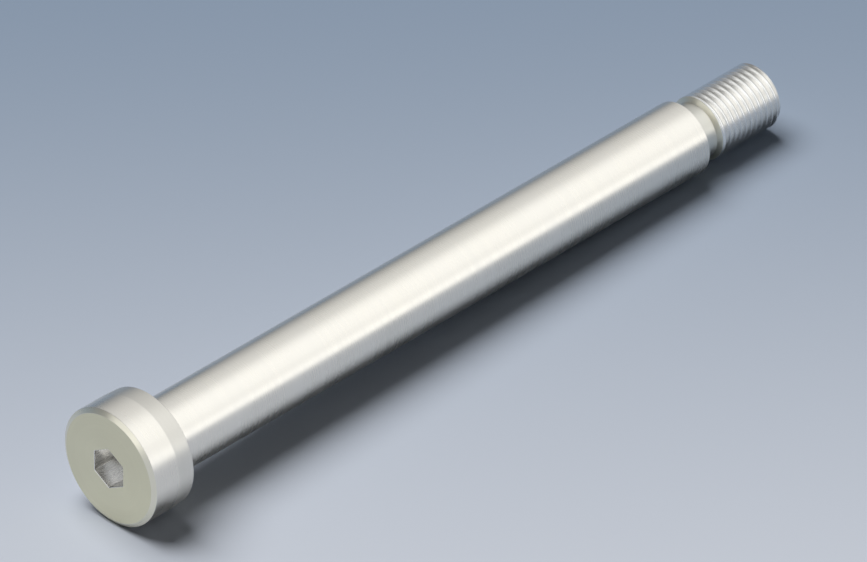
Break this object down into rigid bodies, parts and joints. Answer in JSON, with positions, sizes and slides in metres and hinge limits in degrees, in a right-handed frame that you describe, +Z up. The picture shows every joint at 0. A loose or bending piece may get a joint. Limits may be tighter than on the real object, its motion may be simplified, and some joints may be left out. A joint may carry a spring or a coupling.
{
  "type": "shoulder bolt",
  "caption": "Shoulder bolt turned from one piece: cylindrical hexagon-socket head, long ground shoulder for a pivot, relief neck and a shorter threaded end.",
  "frame": {"origin": "on the bolt's axis, in the plane of the head's underside, where the shoulder starts", "axes": "+X along the axis from the head to the thread, +Z up through a corner of the hexagon socket; the bolt lies along X"},
  "size_m": [0.0915, 0.013, 0.013],
  "materials": {
    "steel": "satin"
  },
  "bodies": {
    "root": {"shoulder_bolt": "steel"}
  },
  "joints": []
}
